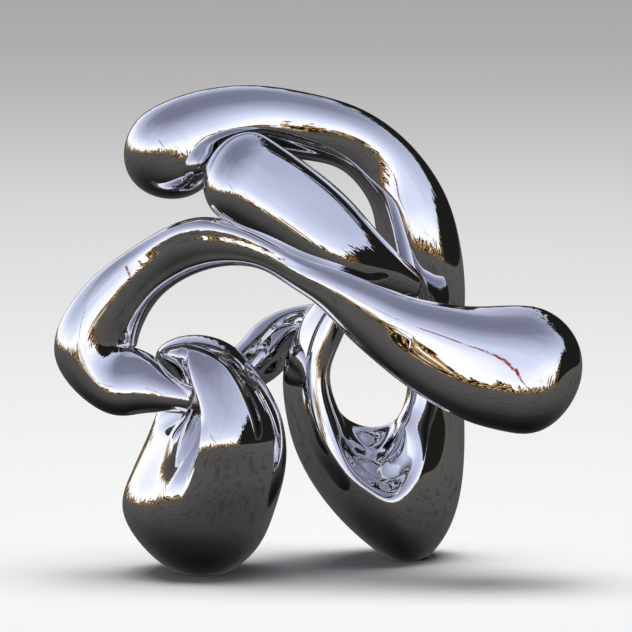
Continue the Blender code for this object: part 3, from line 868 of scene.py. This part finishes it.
# %% Assign finishes and bodies
SLOT_OF = {row["node"]: row["material_slot"] for row in frame["record"]["subparts"]}
BODY.update(left_foot="base", right_foot="base")
for node, piece in pieces.items():
    piece.data.materials.clear()
    piece.data.materials.append(finishes[SLOT_OF[node]])
    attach(piece, BODY[node])
    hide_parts(node)
for node, cad_object in frame["nodes"].items():
    for material_slot in cad_object.material_slots:
        material_slot.material = finishes[SLOT_OF[node]]
print(len(pieces), "fine surfaces and", len(frame["nodes"]) - len(pieces), "packed solids shown")

# %% [markdown]
# ## The floor
# A wide pale disc whose tone deepens with distance, so from a low camera it melts into the
# backdrop with no edge. It takes the soft shadows, but the mirror limbs don't see it: they
# mirror the open surroundings, which gives them their contrast.

# %% Floor
FLOOR_TONES = (
    (0.0, 0.93), (0.22, 0.92), (0.44, 0.875), (0.60, 0.84), (0.78, 0.79), (0.98, 0.74),
    (1.20, 0.68), (1.44, 0.585), (1.72, 0.50), (2.04, 0.43), (2.39, 0.40), (18.0, 0.385),
)
FLOOR_RADIUS = 20.0


def ground_disc(radius, rings=64, sides=96):
    """Rings of growing radius r = radius * share^3, flat at z = 0, with a centre point."""
    share = np.linspace(0, 1, rings + 1)[1:] ** 3
    turn = np.linspace(0, 2 * math.pi, sides, endpoint=False)
    x, y = np.outer(share, np.cos(turn)) * radius, np.outer(share, np.sin(turn)) * radius
    points = np.stack([x, y, np.zeros_like(x)], axis=-1).reshape(-1, 3)
    ring, side = np.meshgrid(np.arange(rings - 1), np.arange(sides), indexing="ij")
    after = (side + 1) % sides
    corners = [ring * sides + side, (ring + 1) * sides + side]
    corners += [(ring + 1) * sides + after, ring * sides + after]
    quads = np.stack(corners, axis=-1).reshape(-1, 4)
    one = np.arange(sides)
    fan = np.stack([np.full(sides, len(points)), one, (one + 1) % sides], axis=1)
    mesh = bpy.data.meshes.new("floor")
    every = np.concatenate([points, [[0.0, 0.0, 0.0]]])
    mesh.from_pydata(every.tolist(), [], quads.tolist() + fan.tolist())
    return mesh


floor = bpy.data.objects.new("floor", ground_disc(FLOOR_RADIUS))
bpy.context.scene.collection.objects.link(floor)
floor.visible_glossy = False
floor_finish = bpy.data.materials.new("pale_floor")
floor_finish.use_nodes = True
tree = floor_finish.node_tree
floor_shader = tree.nodes["Principled BSDF"]
floor_shader.inputs["Roughness"].default_value = 0.9
floor_shader.inputs["Specular IOR Level"].default_value = 0.0
place = tree.nodes.new("ShaderNodeTexCoord").outputs["Object"]
far = tree.nodes.new("ShaderNodeVectorMath")
far.operation = "LENGTH"
tree.links.new(place, far.inputs[0])
# the ramp runs from 0 to 1, so distance r is read as r / (r + 1)
beyond = math_node(tree, "ADD", far.outputs["Value"], 1.0)
scaled = math_node(tree, "DIVIDE", far.outputs["Value"], beyond)
tones = [(r / (r + 1), (tone, tone, tone)) for r, tone in FLOOR_TONES]
tree.links.new(ramp(tree, scaled, tones), floor_shader.inputs["Base Color"])
floor.data.materials.append(floor_finish)

# %% [markdown]
# ## The surroundings
# A mirror shows only what is round it. The limbs mirror an open place: a blue-grey sky
# that pales towards the horizon, a thin ragged line of autumn trees, a dark wood on the right,
# a dark hill behind, one red-leaved branch in front, and warm dark ground. Underfoot that
# ground is painted down to black. This is painted shadow: it stands for the shaded floor under
# the sculpture, which the mirror undersides show. Matte surfaces get only a faint even light
# from the surroundings, so shadows stay deep.

# %% World
world = bpy.data.worlds.new("surroundings")
bpy.context.scene.world = world
world.use_nodes = True
tree = world.node_tree
tree.nodes.clear()
direction = tree.nodes.new("ShaderNodeTexCoord").outputs["Generated"]
parts = tree.nodes.new("ShaderNodeSeparateXYZ")
tree.links.new(direction, parts.inputs[0])
height = parts.outputs["Z"]
to_right = parts.outputs["X"]


def world_noise(scale, detail, stretch):
    """Noise over the sphere of directions, squeezed along each axis by stretch."""
    mapping = tree.nodes.new("ShaderNodeMapping")
    mapping.inputs["Scale"].default_value = stretch
    tree.links.new(direction, mapping.inputs["Vector"])
    noise = tree.nodes.new("ShaderNodeTexNoise")
    noise.inputs["Scale"].default_value = scale
    noise.inputs["Detail"].default_value = detail
    noise.inputs["Roughness"].default_value = 0.6
    tree.links.new(mapping.outputs["Vector"], noise.inputs["Vector"])
    return noise.outputs["Fac"]


def mix_colour(factor, first, second):
    """A colour mix whose inputs are sockets or plain colours."""
    node = tree.nodes.new("ShaderNodeMix")
    node.data_type = "RGBA"
    tree.links.new(factor, node.inputs["Factor"])
    for label, value in ((6, first), (7, second)):
        if isinstance(value, tuple):
            node.inputs[label].default_value = (*value, 1)
        else:
            tree.links.new(value, node.inputs[label])
    return node.outputs[2]


def band(value, start, end):
    """0 below start and 1 above end, with an even rise between."""
    node = tree.nodes.new("ShaderNodeMapRange")
    node.inputs["From Min"].default_value = start
    node.inputs["From Max"].default_value = end
    tree.links.new(value, node.inputs["Value"])
    return node.outputs["Result"]


# sky: the ramp is read at the height above the horizon, bent a little by thin cloud
cloud = world_noise(2.2, 5, (1, 1, 2.5))
lifted = math_node(tree, "MULTIPLY_ADD", math_node(tree, "SUBTRACT", cloud, 0.5), 0.26, height)
sky = ramp(tree, lifted, [
    (0.0, (1.40, 1.37, 1.28)), (0.16, (1.22, 1.24, 1.30)), (0.32, (0.84, 0.90, 1.10)),
    (0.52, (0.62, 0.66, 0.86)), (0.76, (0.40, 0.42, 0.56)), (0.90, (0.25, 0.265, 0.365)),
    (1.0, (0.215, 0.225, 0.31)),
])
# the low sun stands off to the left and washes that side of the sky with white
wash = math_node(tree, "MULTIPLY", band(to_right, -0.45, -1.0), band(height, 0.50, 0.0))
sky = mix_colour(wash, sky, (1.25, 1.24, 1.22))
# ground: warm and dark with a few darker blotches. Its fall to black underfoot is painted
# shadow, standing in for the shaded floor under the sculpture as the mirrors see it
grain = world_noise(6, 10, (1, 1, 4))
depth = math_node(tree, "MULTIPLY", height, -1.0)
ground_and_shade = ramp(tree, depth, [
    (0.0, (0.16, 0.14, 0.11)), (0.05, (0.112, 0.108, 0.099)), (0.30, (0.090, 0.087, 0.083)),
    (0.55, (0.058, 0.057, 0.054)), (0.76, (0.024, 0.023, 0.022)), (1.0, (0.008, 0.008, 0.008)),
])
blotches = math_node(tree, "MULTIPLY", band(grain, 0.56, 0.585), band(depth, 0.9, 0.5))
ground_and_shade = mix_colour(math_node(tree, "MULTIPLY", blotches, 0.35), ground_and_shade, (0.02, 0.02, 0.02))
# trees: a ragged strip just above the horizon, dark green and brown with lit orange leaves
ragged = world_noise(22, 12, (1, 1, 0.35))
leaves = world_noise(48, 6, (1, 1, 1.1))
foliage = ramp(tree, leaves, [
    (0.40, (0.006, 0.007, 0.005)), (0.50, (0.02, 0.02, 0.01)), (0.525, (0.16, 0.07, 0.02)),
    (0.55, (0.90, 0.42, 0.10)), (0.58, (1.20, 0.90, 0.45)), (0.61, (0.03, 0.035, 0.02)),
])
tree_top = math_node(tree, "MULTIPLY_ADD", math_node(tree, "SUBTRACT", ragged, 0.47), 0.55, 0.050)
# a dark wood stands close on the right, so the trees are tall there
wood = math_node(tree, "MULTIPLY", band(to_right, 0.74, 0.92), math_node(tree, "ADD", ragged, 0.25))
tree_top = math_node(tree, "MULTIPLY_ADD", wood, 0.80, tree_top)
# and a dark hill closes the view behind, higher on the right, which outlines every rim
hill = math_node(tree, "MULTIPLY", band(to_right, -0.4, 0.6), 0.80)
hill = math_node(tree, "MULTIPLY", band(parts.outputs["Y"], 0.0, 0.45), hill)
hill = math_node(tree, "MULTIPLY", hill, math_node(tree, "ADD", ragged, 0.5))
tree_top = math_node(tree, "ADD", tree_top, hill)
wood = math_node(tree, "MAXIMUM", wood, hill)
foliage = mix_colour(band(wood, 0.1, 0.40), foliage, (0.014, 0.014, 0.012))
above_trees = band(math_node(tree, "SUBTRACT", height, tree_top), 0.0, 0.006)
# one red-leaved branch leans up across the sky in front, seen broken by its gaps
lean = math_node(tree, "MULTIPLY_ADD", height, 0.9, to_right)
wander = math_node(tree, "MULTIPLY_ADD", world_noise(30, 3, (1, 1, 1)), 0.05, lean)
BRANCH_SIDE = 0.22
BRANCH_HALF_WIDTH = 0.018
aside = math_node(tree, "ABSOLUTE", math_node(tree, "SUBTRACT", wander, BRANCH_SIDE))
branch = math_node(tree, "LESS_THAN", aside, BRANCH_HALF_WIDTH)
facing = math_node(tree, "LESS_THAN", parts.outputs["Y"], -0.3)
leafy = math_node(tree, "GREATER_THAN", leaves, 0.46)
low = math_node(tree, "LESS_THAN", height, 0.42)
for mask in (facing, leafy, low):
    branch = math_node(tree, "MULTIPLY", branch, mask)
sky = mix_colour(branch, sky, (0.36, 0.05, 0.03))
seen = mix_colour(above_trees, foliage, sky)
above_ground = band(height, -0.035, -0.02)
seen = mix_colour(above_ground, ground_and_shade, seen)

# the camera sees a plain grey backdrop, and matte surfaces an even white dome
backdrop = ramp(tree, band(height, -0.25, 0.05), [
    (0.0, (0.42, 0.42, 0.42)), (0.80, (0.385, 0.383, 0.385)), (1.0, (0.385, 0.381, 0.385)),
])
rays = tree.nodes.new("ShaderNodeLightPath")
DOME_LIGHT = (0.03, 0.03, 0.03)
lit = mix_colour(rays.outputs["Is Glossy Ray"], DOME_LIGHT, seen)
final = mix_colour(rays.outputs["Is Camera Ray"], lit, backdrop)
background = tree.nodes.new("ShaderNodeBackground")
tree.links.new(final, background.inputs["Color"])
output = tree.nodes.new("ShaderNodeOutputWorld")
tree.links.new(background.outputs[0], output.inputs["Surface"])

# %% [markdown]
# ## Soft studio light
# Two broad, soft lights high up behind, to the left and right, draw the shadows a little
# forward and light the whole floor evenly. Mirrors don't see them, so they draw no spots.

# %% Lights


LIGHT_ANGLE = math.radians(36)
LIGHT_TILT = math.radians(13)
LIGHT_STRENGTH = 1.55


def soft_light(name, bearing):
    """A broad sun: its wide angle blurs the shadows as a big overhead screen would."""
    light = bpy.data.lights.new(name, "SUN")
    light.angle = LIGHT_ANGLE
    light.energy = LIGHT_STRENGTH
    lamp = bpy.data.objects.new(name, light)
    bpy.context.scene.collection.objects.link(lamp)
    lamp.rotation_euler = (LIGHT_TILT, 0.0, math.radians(bearing))
    lamp.visible_glossy = False


soft_light("soft_left", -125)
soft_light("soft_right", 125)

# %% [markdown]
# ## Colour
# The plain sRGB view keeps the mirror's whites and blacks.

# %% Colour view
bpy.context.scene.view_settings.view_transform = "Standard"
